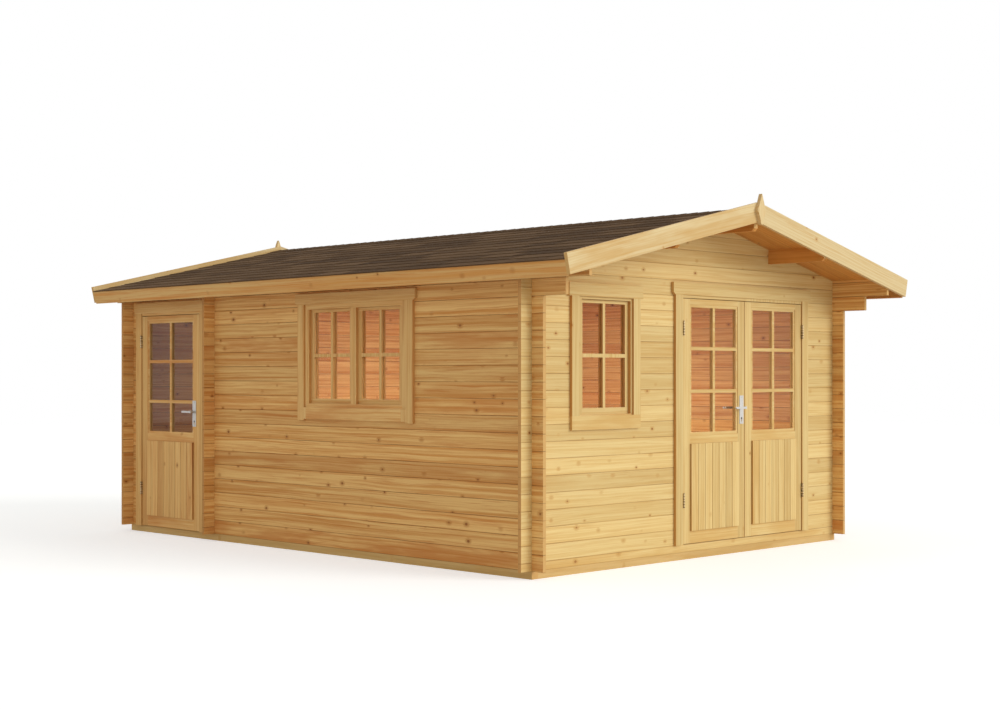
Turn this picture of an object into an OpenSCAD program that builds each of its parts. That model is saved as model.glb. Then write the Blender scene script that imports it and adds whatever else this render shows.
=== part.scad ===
// Garden house of interlocked logs: one large room behind a glazed double
// door, and a store with its own door at the back of the left side.
// Origin: middle of the whole footprint, on the ground. Front is -Y, +Z is up.

/* [Walls] */
// Width over the outer faces of the side walls
wall_w = 3610; // [2400:10:6000]
// Length over the outer faces of the front and rear walls
wall_l = 4830; // [3600:10:8000]
// Thickness of a wall log
log_t = 28; // [19:1:44]
// Height that one log adds to the wall
log_h = 114; // [96:2:140]
// How far the logs run past the wall that they cross
stub = 102; // [60:1:200]
// Depth of the V groove along a log joint
groove = 3; // [0:0.5:5]
// Sideways slack of a corner notch
notch_gap = 0.5; // [0:0.1:2]
// Length of the store, from the partition's rear face to the rear wall's outer face
store_l = 1211; // [1000:1:2400]

/* [Base and floor] */
// Height of the bearers under the walls
base_h = 54; // [40:1:120]
// Width of the bearers under the walls
bearer_w = 60; // [45:1:100]
// Distance between the floor joists
joist_pitch = 480; // [300:10:600]
// Width of a floor joist
joist_w = 45; // [30:1:60]
// Thickness of the floor boards
floor_t = 19; // [16:1:28]
// Width of a floor board, from groove to groove
floor_board_w = 96; // [80:1:140]
// Gap between the floor boards and the walls
floor_gap = 8; // [5:1:15]

/* [Roof] */
// Slope of the roof, in degrees
pitch = 13; // [8:0.5:25]
// Width of a roof board, from groove to groove
roof_board_w = 96; // [80:1:140]
// How far the last full side log is below the roof boards, at the walls' outer faces
eaves_rise = 126; // [115:1:150]
// Overhang past the side walls, at the lower edge of the fascia
eaves_over = 210; // [120:5:300]
// Overhang past the front wall, to the face of the bargeboards
front_over = 536; // [320:2:700]
// Overhang past the rear wall, to the face of the bargeboards
rear_over = 260; // [150:2:500]
// Thickness of the roof boards
roof_t = 18; // [16:1:24]
// Thickness of the shingles where they overlap
shingle_t = 6; // [4:1:10]
// Rows of shingles on each slope
shingle_rows = 13; // [9:1:18]
// Width of a bargeboard
barge_w = 140; // [110:1:180]
// Thickness of bargeboards and finials
barge_t = 28; // [19:1:32]
// How far the bargeboards stand above the shingles
barge_lip = 38; // [20:1:60]
// Width of a fascia board
fascia_w = 106; // [90:1:140]
// Thickness of a fascia board
fascia_t = 20; // [16:1:28]
// Thickness of the side purlins
purlin_t = 35; // [28:1:60]
// Height of a side purlin at its outer face
purlin_h = 104; // [80:1:140]
// Distance between the inner faces of the side purlins
purlin_span = 1752; // [1400:2:2200]
// Thickness of the ridge purlin
ridge_t = 45; // [35:1:70]
// Height of the ridge purlin
ridge_h = 144; // [110:1:200]
// How far the log under the eaves beam runs past the front wall
corbel = 304; // [200:2:400]
// Length of ridge cap that each cap piece leaves showing
cap_pitch = 105; // [90:1:160]

/* [Double door] */
// Log wall between the double door's opening and the right wall's outer face
door_side = 495; // [400:5:900]
// Opening between the casings
door_w = 1530; // [1400:2:1600]
// Height of a door leaf
leaf_h = 1800; // [1750:5:1850]
// Thickness of a door leaf
leaf_t = 40; // [36:1:44]
// Gap between a leaf and its frame
leaf_gap = 5; // [5:0.5:8]
// Gap between the two leaves
meeting_gap = 6; // [5:0.5:10]
// Width of a door casing
door_casing_w = 85; // [70:1:110]
// Thickness of the casings
casing_t = 22; // [16:1:28]
// Height of a head board over a door or the front window
head_h = 90; // [80:1:120]

/* [Door leaf] */
// Width of a stile beside the panel
stile_w = 85; // [70:1:110]
// Width of the glazing bead round the glass
bead_w = 20; // [12:1:28]
// Height of the bottom rail
bottom_rail = 92; // [80:1:140]
// Height of the boarded panel
panel_h = 642; // [500:2:760]
// Height of the rail between panel and glass
mid_rail = 82; // [60:1:120]
// Height of the top rail
top_rail = 62; // [50:1:100]
// Width of the glazing bars
bar_w = 26; // [18:1:35]
// How far the panel's boards stand in front of the stiles
panel_proud = 14; // [0:1:20]
// Height of the lowest panes of the store door
low_pane = 242; // [160:2:290]
// Boards in one panel of the double door
panel_boards = 7; // [4:1:12]
// Thickness of the glass
glass_t = 4; // [3:1:6]
// Slack round the edge of glass and panels
pane_gap = 0.5; // [0:0.1:3]

/* [Store door] */
// Log wall at each side of the door's opening, inside the store
store_side = 159; // [140:1:300]

/* [Windows] */
// Share of the wall left of the double door that the front window takes
front_win_share = 0.53; // [0.42:0.01:0.62]
// Height of the front window's opening
front_win_h = 794; // [600:2:1000]
// How far the front window's opening ends below the double door's
front_win_drop = 44; // [20:1:80]
// Height of the side window's opening
side_win_h = 717; // [500:5:900]
// How far the side window's opening ends below the store door's
side_win_drop = 9; // [0:1:60]
// Glass width of one sash of the side window
side_glass_w = 420; // [300:2:460]
// How far the frames and sashes sit off the middle of their casings
sash_shift = 12; // [0:1:20]
// Thickness of a sash
sash_t = 42; // [36:1:56]
// Width of a window casing
win_casing_w = 75; // [60:1:90]

/* [Door fittings] */
// Height of the lower hinge's middle, from the lower edge of a leaf
hinge_low = 320; // [200:5:450]
// Distance of the upper hinge's middle from the upper edge of a leaf
hinge_top = 217; // [150:1:350]
// Height of a hinge
hinge_h = 102; // [80:1:150]
// Radius of a hinge knuckle
knuckle_r = 6; // [5:0.5:8]
// Radius of a hinge pin
pin_r = 3; // [2:0.5:4]
// Thickness of a hinge plate
hinge_plate_t = 2; // [1.5:0.5:3]
// Running clearance round pins and lever necks
run_gap = 0.05; // [0.02:0.01:0.1]
// Length of a lever handle
lever_l = 125; // [90:1:150]
// Height of a handle plate
plate_h = 215; // [160:1:260]
// Width of a handle plate
plate_w = 50; // [32:1:60]

/* [Show] */
// Sub-part to build, or all

/* [Hidden] */
$fn = 32;

half_w = wall_w / 2;
front_y = -(wall_l + front_over + rear_over + 2 * barge_t) / 2 + barge_t + front_over;
rear_y = front_y + wall_l;
part_y = rear_y - store_l - log_t;
slope = tan(pitch);
over = 1 / cos(pitch);
door_z = base_h + log_h / 2;
jamb_t = 28;
settle = 12;
// Full logs beside a door: the log above them bridges the opening
head_course = floor((leaf_h + 2 * leaf_gap + jamb_t + settle) / log_h);
front_split = door_z + head_course * log_h;
side_split = base_h + head_course * log_h;
side_top = side_split + log_h;
ridge_z = side_top + eaves_rise + slope * half_w;
floor_z = base_h + floor_t;
roof_y0 = front_y - front_over + barge_t;
roof_y1 = rear_y + rear_over - barge_t;
barge_top = ridge_z + (roof_t + shingle_t) * over + barge_lip;
big = 2 * wall_l;
cut = 0.5;

// Faces of the door leaf and the frames, measured from the wall's outer face
leaf_y = -14;
stop_y = leaf_y + leaf_t + leaf_gap;
inner_y = log_t + casing_t;
hinge_y = -casing_t - 6.5;
hinge_x = leaf_gap / 2;
sash_y = 18;
frame_y = -6;
head_over = 28;
head_t = 24;

leaf_w = (door_w - 2 * leaf_gap - meeting_gap) / 2;
door_x = wall_w - door_side - door_w / 2;
store_w = store_l - log_t - 2 * store_side;
store_y = wall_l - (store_l + log_t) / 2;
store_leaf_w = store_w - 2 * leaf_gap;
store_leaf_z = base_h + leaf_gap;
main_leaf_z = door_z + leaf_gap;
leaf_glass_h = leaf_h - bottom_rail - panel_h - mid_rail - top_rail;
panel_in = 8;
bevel = 3;

module at_front() translate([-half_w, front_y, 0]) children();
module at_left() translate([-half_w, front_y, 0]) rotate([0, 0, -90]) mirror([1, 0, 0]) children();

// Wall logs: one profile holds the whole stack, with a V groove at every joint
function joints(z0, z1, first) =
  [for (z = [first : log_h : z1 - 1]) if (z > z0 + 1) z];
module stack(z0, z1, first) {
  js = joints(z0, z1, first);
  n = len(js);
  g = groove;
  polygon(concat(
    [[g, z0], [log_t - g, z0], [log_t, z0 + g]],
    [for (i = [0 : 1 : n - 1], k = [-1, 0, 1]) [log_t - (k == 0 ? g : 0), js[i] + k * g]],
    [[log_t, z1 - g], [log_t - g, z1], [g, z1], [0, z1 - g]],
    [for (i = [n - 1 : -1 : 0], k = [1, 0, -1]) [k == 0 ? g : 0, js[i] + k * g]],
    [[0, z0 + g]]));
}
// Logs along X, with their outer face at y, from x0 to x1
module cross_logs(x0, x1, y, z0, z1)
  translate([x0, y, 0]) rotate([90, 0, 90]) linear_extrude(x1 - x0)
    stack(z0, z1, base_h + log_h / 2);
// Logs along Y, with their left face at x, from y0 to y1
module side_logs(x, y0, y1, z0, z1)
  translate([x, y1, 0]) rotate([90, 0, 0]) linear_extrude(y1 - y0)
    stack(z0, z1, base_h + log_h);

// Corner notches: each log keeps the middle half of its height at a crossing
module side_bands(x, y, z1) // cut out of logs along Y
  translate([x - cut, y - notch_gap, 0]) {
    translate([0, 0, base_h - cut]) cube([log_t + 2 * cut, log_t + 2 * notch_gap, log_h / 4 + cut]);
    for (z = [base_h + 3 * log_h / 4 : log_h : z1])
      translate([0, 0, z]) cube([log_t + 2 * cut, log_t + 2 * notch_gap, log_h / 2]);
  }
module cross_bands(x, y, z1) // cut out of logs along X
  translate([x - notch_gap, y - cut, 0])
    for (z = [base_h + log_h / 4 : log_h : z1])
      translate([0, 0, z]) cube([log_t + 2 * notch_gap, log_t + 2 * cut, log_h / 2]);

// Everything above the underside of the roof boards
module above_roof() {
  e = half_w + eaves_over + stub;
  top = ridge_z + 2 * log_h;
  translate([0, big / 2, 0]) rotate([90, 0, 0]) linear_extrude(big)
    polygon([[0, ridge_z], [e, ridge_z - slope * e], [e, top], [-e, top], [-e, ridge_z - slope * e]]);
}

// ---- base and floors ----
module box(a, b) translate(a) cube(b - a);

module base_frame() color("#b98d52") {
  box([-half_w, front_y, 0], [half_w, front_y + bearer_w, base_h]);
  box([-half_w, rear_y - bearer_w, 0], [half_w, rear_y, base_h]);
  for (x = [-half_w, half_w - bearer_w])
    box([x, front_y + bearer_w, 0], [x + bearer_w, rear_y - bearer_w, base_h]);
  box([-half_w + bearer_w, part_y - bearer_w / 2, 0],
    [half_w - bearer_w, part_y + bearer_w / 2 + log_t, base_h]);
  for (y = [front_y + joist_pitch : joist_pitch : rear_y - joist_pitch / 2])
    if (abs(y - part_y) > bearer_w + joist_w)
      box([-half_w + bearer_w, y, 0], [half_w - bearer_w, y + joist_w, base_h]);
}

// Tongued boards seen end on, side by side along x, with a V groove between them
module boards(x0, x1, pitch_x, t, g = 2) {
  n = floor((x1 - x0 - 1) / pitch_x);
  polygon(concat(
    [[x0, 0], [x1, 0], [x1, t]],
    [for (i = [n : -1 : 1], k = [1, 0, -1]) [x0 + i * pitch_x + k * g, k == 0 ? t - g : t]],
    [[x0, t]]));
}
module floor_between(y0, y1) {
  e = half_w - log_t - floor_gap;
  translate([0, y1 - floor_gap, base_h]) rotate([90, 0, 0])
    linear_extrude(y1 - y0 - 2 * floor_gap) boards(-e, e, floor_board_w, floor_t);
}
module floor_boards() color("#c9a063") {
  floor_between(front_y + log_t, part_y);
  floor_between(part_y + log_t, rear_y - log_t);
}

// ---- walls ----
door_hole0 = -half_w + door_x - door_w / 2 - jamb_t - 1;
door_hole1 = -half_w + door_x + door_w / 2 + jamb_t + 1;
store_hole0 = front_y + store_y - store_w / 2 - jamb_t - 1;
store_hole1 = front_y + store_y + store_w / 2 + jamb_t + 1;
main_head = door_z + leaf_h + 2 * leaf_gap;
store_head = base_h + leaf_h + 2 * leaf_gap;
right_col = half_w - log_t;
rear_in = rear_y - log_t;
purlin_z = ridge_z - slope * (purlin_span / 2 + purlin_t) - purlin_h;
ridge_bottom = ridge_z - ridge_h;

module corner_notches(y) for (x = [-half_w, right_col]) cross_bands(x, y, ridge_z);
module wall_notches(x) for (y = [front_y, part_y, rear_in]) side_bands(x, y, ridge_z);
module purlin_seats(y) {
  for (x = [-purlin_span / 2 - purlin_t, purlin_span / 2])
    box([x - notch_gap, y - 1, purlin_z], [x + purlin_t + notch_gap, y + log_t + 1, ridge_z]);
  box([-ridge_t / 2 - notch_gap, y - 1, ridge_bottom], [ridge_t / 2 + notch_gap, y + log_t + 1, ridge_z]);
}
module front_sill() color("#d9b878") difference() {
  cross_logs(-half_w - stub, half_w + stub, front_y, base_h, door_z);
  corner_notches(front_y);
}
module front_wall_left() color("#e0c084") difference() {
  cross_logs(-half_w - stub, door_hole0, front_y, door_z, front_split);
  cross_bands(-half_w, front_y, front_split);
  at_front() front_window_hole();
}
module front_wall_right() color("#e0c084") difference() {
  cross_logs(door_hole1, half_w + stub, front_y, door_z, front_split);
  cross_bands(right_col, front_y, front_split);
}
module front_gable() color("#ddbb7c") difference() {
  cross_logs(-half_w - stub, half_w + stub, front_y, front_split, ridge_z + log_h);
  above_roof();
  at_front() front_window_hole();
  corner_notches(front_y);
  purlin_seats(front_y);
  box([door_hole0, front_y - 1, front_split - 1],
    [door_hole1, front_y + log_t + 1, main_head + jamb_t + settle]);
}
module rear_wall() color("#d2a866") difference() {
  cross_logs(-half_w - stub, half_w + stub, rear_in, base_h, ridge_z + log_h);
  above_roof();
  corner_notches(rear_in);
  purlin_seats(rear_in);
}
module partition_wall() color("#cfa262") difference() {
  cross_logs(-half_w - stub, half_w + stub, part_y, base_h, ridge_z + log_h);
  above_roof();
  corner_notches(part_y);
  purlin_seats(part_y);
}
module left_wall() color("#c98f4d") difference() {
  side_logs(-half_w, front_y - stub, store_hole0, base_h, side_split);
  side_bands(-half_w, front_y, side_split);
  side_bands(-half_w, part_y, side_split);
  at_left() side_window_hole();
}
module left_wall_rear() color("#c98f4d") difference() {
  side_logs(-half_w, store_hole1, rear_y + stub, base_h, side_split);
  side_bands(-half_w, rear_in, side_split);
}
// The top two logs carry the eaves: one is a corbel, one reaches the bargeboards
module eaves_logs(x) difference() {
  union() {
    side_logs(x, front_y - corbel, rear_y + stub, side_split, side_top);
    side_logs(x, roof_y0, roof_y1, side_top, side_top + 2 * log_h);
  }
  above_roof();
  wall_notches(x);
}
module left_wall_top() color("#c4894a") difference() {
  eaves_logs(-half_w);
  at_left() side_window_hole();
  box([-half_w - 1, store_hole0, side_split - 1],
    [-half_w + log_t + 1, store_hole1, store_head + jamb_t + settle]);
}
module right_wall() color("#c98f4d") {
  difference() {
    side_logs(right_col, front_y - stub, rear_y + stub, base_h, side_split);
    wall_notches(right_col);
  }
  eaves_logs(right_col);
}

// ---- roof ----
eaves_s = (half_w + eaves_over + (fascia_w - roof_t) * sin(pitch)) / cos(pitch);
drip = 6;
row_s = (eaves_s + drip) / shingle_rows;
lap_t = 2.5;
roof_top = roof_t + shingle_t;
barge_hi = roof_top + barge_lip * cos(pitch);
barge_lo = barge_hi - barge_w;

// Local x runs down the slope from the ridge, local y stands off the roof boards' underside
module on_slope(side, y0, y1) mirror([side < 0 ? 1 : 0, 0, 0])
  translate([0, y1, ridge_z]) rotate([90, 0, 0]) linear_extrude(y1 - y0) rotate(-pitch) children();
function plumb(t) = -t * slope;

seat = 0.02; // play between the purlins and the roof boards on them
module purlin(x) difference() {
  translate([0, roof_y1, 0]) rotate([90, 0, 0]) linear_extrude(roof_y1 - roof_y0)
    polygon([[x, purlin_z], [x + purlin_t, purlin_z],
      [x + purlin_t, ridge_z - seat - slope * abs(x + purlin_t)], [x, ridge_z - seat - slope * abs(x)]]);
  purlin_nose(x, purlin_t, purlin_z);
}
module purlin_nose(x, t, z) for (y = [roof_y0, roof_y1])
  translate([x + t / 2, y, z]) rotate([45, 0, 0]) cube([t + 2, 28, 28], center = true);
module side_purlins() color("#d0a563") {
  purlin(-purlin_span / 2 - purlin_t);
  purlin(purlin_span / 2);
}
module ridge_purlin() color("#d0a563") difference() {
  translate([0, roof_y1, 0]) rotate([90, 0, 0]) linear_extrude(roof_y1 - roof_y0)
    polygon([[-ridge_t / 2, ridge_bottom], [ridge_t / 2, ridge_bottom],
      [ridge_t / 2, ridge_z - seat - slope * ridge_t / 2], [0, ridge_z - seat],
      [-ridge_t / 2, ridge_z - seat - slope * ridge_t / 2]]);
  purlin_nose(-ridge_t / 2, ridge_t, ridge_bottom);
}
// Boards run down the slope, side by side, and show their V grooves underneath
module roof_boards(side) mirror([side < 0 ? 1 : 0, 0, 0]) intersection() {
  box([0, roof_y0, base_h], [big, roof_y1, ridge_z + log_h]);
  translate([0, 0, ridge_z]) rotate([0, pitch, 0]) translate([-roof_t, roof_y0, roof_t])
    rotate([90, 0, 90]) linear_extrude(eaves_s - fascia_t + roof_t) mirror([0, 1])
      boards(0, roof_y1 - roof_y0, roof_board_w, roof_t);
}
module left_roof_boards() color("#d4ab6a") roof_boards(-1);
module right_roof_boards() color("#d4ab6a") roof_boards(1);

// Each row thickens to its lower edge, where it laps over the row below
module shingles(side) on_slope(side, roof_y0, roof_y1)
  polygon(concat(
    [[plumb(roof_t), roof_t], [plumb(roof_top), roof_top], [row_s, roof_top]],
    [for (i = [1 : shingle_rows - 1], k = [0, 1])
      k == 0 ? [i * row_s, roof_t + lap_t] : [(i + 1) * row_s, roof_top]],
    [[shingle_rows * row_s, roof_t]]));
module left_shingles() color("#5b4638") shingles(-1);
module right_shingles() color("#5b4638") shingles(1);

// Cap pieces folded over the ridge, each lapping the next one
cap_w = 125;
cap_t = 5;
module ridge_cap() color("#4f3c30")
  for (side = [0, 1]) mirror([side, 0, 0]) intersection() {
    box([0, roof_y0, ridge_z - cap_w], [2 * cap_w, roof_y1, ridge_z + cap_w]);
    translate([0, 0, ridge_z]) rotate([0, pitch, 0]) translate([-20, roof_y0, roof_top])
      rotate([90, 0, 90]) linear_extrude(cap_w + 20) cap_profile(roof_y1 - roof_y0);
  }
module cap_profile(l) {
  n = ceil(l / cap_pitch);
  polygon(concat([[0, 0]],
    [for (i = [0 : n - 1], k = [0, 1]) [(i + k) * cap_pitch, k == 0 ? cap_t : 2]],
    [[n * cap_pitch, 0]]));
}
module fascia(side) on_slope(side, roof_y0, roof_y1)
  translate([eaves_s - fascia_t, roof_t - fascia_w]) square([fascia_t, fascia_w]);
module fascia_boards() color("#c8934f") for (side = [-1, 1]) fascia(side);

module barge(side, y) on_slope(side, y, y + barge_t)
  polygon([[plumb(barge_lo), barge_lo], [eaves_s, barge_lo],
    [eaves_s, barge_hi], [plumb(barge_hi), barge_hi]]);
module front_barge_left() color("#e8d094") barge(-1, front_y - front_over);
module front_barge_right() color("#e8d094") barge(1, front_y - front_over);
module rear_barge_left() color("#e0c68c") barge(-1, roof_y1);
module rear_barge_right() color("#e0c68c") barge(1, roof_y1);

// Spear-shaped board over the joint of two bargeboards
finial_up = 58;
finial = [[0, 0], [5, -10], [11, -26], [17, -42], [22, -56], [26, -68], [31, -80], [38, -92],
  [45, -102], [48, -112], [48, -122], [44, -134], [38, -144], [31, -156], [24, -172],
  [19, -188], [15, -204], [11, -216], [0, -224]];
module finial_board(y) translate([0, y + barge_t, ridge_z + barge_hi * over + finial_up])
  rotate([90, 0, 0]) linear_extrude(barge_t)
    polygon(concat(finial, [for (i = [len(finial) - 2 : -1 : 1]) [-finial[i][0], finial[i][1]]]));
module finials() color("#ead49b")
  for (y = [front_y - front_over - barge_t, rear_y + rear_over]) finial_board(y);

// ---- windows: measured along the wall, inwards from its outer face, and up ----
module ring(x, z0, z1, w, y0, y1) difference() {
  box([-x - w, y0, z0 - w], [x + w, y1, z1 + w]);
  box([-x, y0 - 1, z0], [x, y1 + 1, z1]);
}
stile = 33;
front_low_rail = 45;
ring_lap = 2;
head_lap = 18;
ledge_lap = 8;
tongue = 8;
side_low_rail = 37;
top_bead = 23;
// The front window's head board takes its share of the wall beside the door's head board
front_win_room = door_x - door_w / 2 - door_casing_w - head_over;
front_win_x = front_win_room / 2;
front_sill_h = 96;
front_case = front_win_share * front_win_room / 2 - win_casing_w - head_over;
front_reveal = 28;
front_in = front_case - front_reveal;
front_x = front_win_x + sash_shift;
front_z1 = main_head - front_win_drop;
front_z0 = front_z1 - front_win_h;
front_ring = front_reveal + sash_shift + ring_lap;

module front_window_hole() translate([front_x, 0, 0])
  box([-front_in - front_ring - 1, -1, front_z0 - front_ring - 1],
    [front_in + front_ring + 1, log_t + 1, front_z1 + front_ring + 1]);
module front_window_frame() color("#e4c88a") at_front() {
  translate([front_x, 0, 0]) {
    ring(front_in, front_z0, front_z1, front_ring, frame_y, inner_y);
    ring(front_in, front_z0, front_z1, 70, log_t, inner_y);
  }
  translate([front_win_x, 0, 0]) {
    for (s = [0, 1]) mirror([s, 0, 0])
      box([front_case, -casing_t, front_z0 - ledge_lap], [front_case + win_casing_w, 0, front_z1 + head_lap]);
    box([-front_case - win_casing_w, -casing_t, front_z0 - ledge_lap - front_sill_h],
      [front_case + win_casing_w, 0, front_z0 - ledge_lap]);
    box([-front_case - win_casing_w - head_over, -head_t, front_z1 + head_lap],
      [front_case + win_casing_w + head_over, 0, front_z1 + head_lap + head_h]);
  }
}
// A sash with cols by rows of panes, held in one sheet of glass: st is a stile's
// width, lo and hi are the heights of the bottom and top rails
module sash(w, z0, z1, cols, rows, st, lo, hi) {
  gw = w - 2 * st;
  gh = z1 - z0 - lo - hi;
  pw = (gw - (cols - 1) * bar_w) / cols;
  ph = (gh - (rows - 1) * bar_w) / rows;
  difference() {
    box([-w / 2, sash_y, z0], [w / 2, sash_y + sash_t, z1]);
    for (i = [0 : cols - 1], j = [0 : rows - 1])
      translate([-gw / 2 + i * (pw + bar_w), sash_y - 1, z0 + lo + j * (ph + bar_w)])
        cube([pw, sash_t + 2, ph]);
    box([-gw / 2 - tongue - pane_gap, sash_y + glass_in, z0 + lo - tongue],
      [gw / 2 + tongue + pane_gap, sash_y + glass_in + glass_t, z1 - hi + tongue + pane_gap]);
  }
}
glass_in = 18;
module pane(w, z0, z1, st, lo, hi) box([-w / 2 + st - tongue, sash_y + glass_in, z0 + lo - tongue],
  [w / 2 - st + tongue, sash_y + glass_in + glass_t, z1 - hi + tongue]);
module front_window_sash() color("#e8cf95") at_front() translate([front_x, 0, 0])
  sash(2 * front_in - 2, front_z0, front_z1 - 2, 2, 2, stile, front_low_rail, top_bead);

side_stile = 38;
mullion = 58;
side_sash_w = side_glass_w + 2 * side_stile;
side_in = mullion / 2 + side_sash_w;
side_win_y = (wall_l - store_l) / 2;
side_y = side_win_y + sash_shift;
side_z1 = store_head - side_win_drop;
side_z0 = side_z1 - side_win_h;
side_reveal = 58;
side_case = side_in + side_reveal;
side_ring = side_reveal + sash_shift + ring_lap;
side_foot = 129;
side_head = 37;
side_sill_h = 88;
side_head_h = 82;
side_sill = 30;
side_cover = 90;

module side_window_hole() translate([side_y, 0, 0])
  box([-side_in - side_ring - 1, -1, side_z0 - side_ring - 1],
    [side_in + side_ring + 1, log_t + 1, side_z1 + 20]);
module side_window_frame() color("#d9a45e") at_left() {
  translate([side_y, 0, 0]) difference() {
    union() {
      box([-side_in - side_ring, frame_y, side_z0 - side_ring],
        [side_in + side_ring, log_t, side_z1 + head_lap]);
      box([-side_in - side_ring, frame_y, side_z1], [side_in + side_ring, 0, side_z1 + 40]);
      box([-side_in - side_cover, log_t, side_z0 - side_cover],
        [side_in + side_cover, inner_y, side_z1 + side_cover]);
    }
    for (s = [-1, 1]) translate([s * (mullion + side_sash_w) / 2, 0, (side_z0 + side_z1) / 2])
      cube([side_sash_w, 4 * inner_y, side_z1 - side_z0], center = true);
  }
  translate([side_win_y, 0, 0]) {
    for (s = [0, 1]) mirror([s, 0, 0])
      box([side_case, -casing_t, side_z0 - side_foot], [side_case + win_casing_w, 0, side_z1 + side_head]);
    box([-side_case - 0.5, -casing_t, side_z0 - side_sill - side_sill_h],
      [side_case + 0.5, 0, side_z0 - side_sill]);
    head_board(side_case + win_casing_w + head_over, side_z1 + side_head, side_head_h);
  }
}
// Head board with its lower corners cut back in a small cove
module head_board(x, z, h) translate([0, 0, z]) rotate([90, 0, 0]) linear_extrude(head_t)
  difference() {
    translate([-x, 0]) square([2 * x, h]);
    for (s = [-1, 1]) translate([s * x, 0]) circle(14);
  }
module side_window_sashes() color("#dba765") at_left()
  for (s = [-1, 1]) translate([side_y + s * (mullion + side_sash_w) / 2, 0, 0])
    sash(side_sash_w - 1, side_z0, side_z1 - 1, 2, 2, side_stile, side_low_rail, top_bead);
module window_glass() color("#a8c4cc") {
  at_front() translate([front_x, 0, 0])
    pane(2 * front_in - 2, front_z0, front_z1 - 2, stile, front_low_rail, top_bead);
  at_left() for (s = [-1, 1]) translate([side_y + s * (mullion + side_sash_w) / 2, 0, 0])
    pane(side_sash_w - 1, side_z0, side_z1 - 1, side_stile, side_low_rail, top_bead);
}

// ---- door frames ----
hinge_zs = [hinge_low, leaf_h - hinge_top];
module frame_mortises(w, z0, sides) for (s = sides, z = hinge_zs)
  translate([s * (w / 2 + hinge_plate_t / 2), -7, z0 + leaf_gap + z])
    cube([hinge_plate_t, 30, hinge_h], center = true);
module frame_body(w, z0, sides) {
  zh = z0 + leaf_h + 2 * leaf_gap;
  xo = w / 2 + jamb_t;
  case_z = zh + casing_t;
  difference() {
    union() {
      for (s = [0, 1]) mirror([s, 0, 0]) {
        box([w / 2, 0, z0], [xo, log_t, zh + jamb_t]);
        box([w / 2, log_t, floor_z], [xo, inner_y, zh + jamb_t]);
        box([w / 2, -casing_t, z0], [w / 2 + door_casing_w, 0, case_z]);
        box([w / 2 + 6, log_t, floor_z], [w / 2 + 76, inner_y, zh + 76]);
        box([w / 2 - 12, stop_y, floor_z], [w / 2, inner_y, zh]);
      }
      box([-xo, leaf_y, zh], [xo, inner_y, zh + jamb_t]);
      box([-w / 2, stop_y, zh - 12], [w / 2, inner_y, zh]);
      box([-w / 2 - 6, log_t, zh + 6], [w / 2 + 6, inner_y, zh + 76]);
      box([-w / 2, stop_y, floor_z], [w / 2, inner_y, max(z0 + 12, floor_z + 5)]);
      head_board(w / 2 + door_casing_w + head_over, case_z, head_h);
    }
    frame_mortises(w, z0, sides);
  }
}
module door_frame() color("#e4c88a") at_front() translate([door_x, 0, 0]) frame_body(door_w, door_z, [-1, 1]);
module store_frame() color("#d9a45e") at_left() translate([store_y, 0, 0]) frame_body(store_w, base_h, [1]);

// ---- door leaves: the hinge edge is at x = 0, the lower edge at z = 0 ----
glass_z = bottom_rail + panel_h + mid_rail;
glass_y = leaf_y + 18;
panel_y = leaf_y - panel_proud;
panel_t = panel_proud + 14;
tongue_y = leaf_y + 4;
tongue_t = 8;
bead_d = 4;
lever_z = 990;
plate_t = 3;
neck_r = 8;
lever_off = 38;
lock_bore_r = 14;
key_drop = 80;
plate_drop = 15;
key_slot = 24;
key_r = 8.5;

module leaf_body(w, lock, low) difference() {
  linear_extrude(leaf_h) polygon([[0, leaf_y], [w, leaf_y],
    [w - bevel, leaf_y + leaf_t], [0, leaf_y + leaf_t]]);
  for (y = [leaf_y - 1, leaf_y + leaf_t - bead_d])
    box([stile_w, y, glass_z - bead_w], [w - stile_w, y + bead_d + 1, glass_z + leaf_glass_h + bead_w]);
  panes(w, low);
  box([stile_w + bead_w - 8 - pane_gap, glass_y, glass_z - 8],
    [w - stile_w - bead_w + 8 + pane_gap, glass_y + glass_t, glass_z + leaf_glass_h + 8 + pane_gap]);
  box([stile_w, leaf_y - 1, bottom_rail], [w - stile_w, leaf_y + leaf_t + 1, bottom_rail + panel_h]);
  box([stile_w - panel_in - pane_gap, tongue_y, bottom_rail - panel_in],
    [w - stile_w + panel_in + pane_gap, tongue_y + tongue_t, bottom_rail + panel_h + panel_in + pane_gap]);
  for (z = hinge_zs) box([-1, leaf_y - 1, z - hinge_h / 2], [hinge_plate_t, 8, z + hinge_h / 2]);
  if (lock > 0) translate([w - lock, leaf_y - 1, lever_z]) rotate([-90, 0, 0])
    cylinder(r = lock_bore_r, h = leaf_t + 2);
}
// Panes of a leaf, two wide and three high: low is the height of the lowest ones
module panes(w, low) {
  gw = w - 2 * stile_w - 2 * bead_w;
  pw = (gw - bar_w) / 2;
  ph = (leaf_glass_h - low) / 2 - bar_w;
  for (i = [0, 1], j = [0 : 2])
    translate([stile_w + bead_w + i * (pw + bar_w), leaf_y - 1,
      glass_z + (j == 0 ? 0 : low + bar_w + (j - 1) * (ph + bar_w))])
      cube([pw, leaf_t + 2, j == 0 ? low : ph]);
}
module leaf_glass(w) box([stile_w + bead_w - 8, glass_y, glass_z - 8],
  [w - stile_w - bead_w + 8, glass_y + glass_t, glass_z + leaf_glass_h + 8]);
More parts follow.
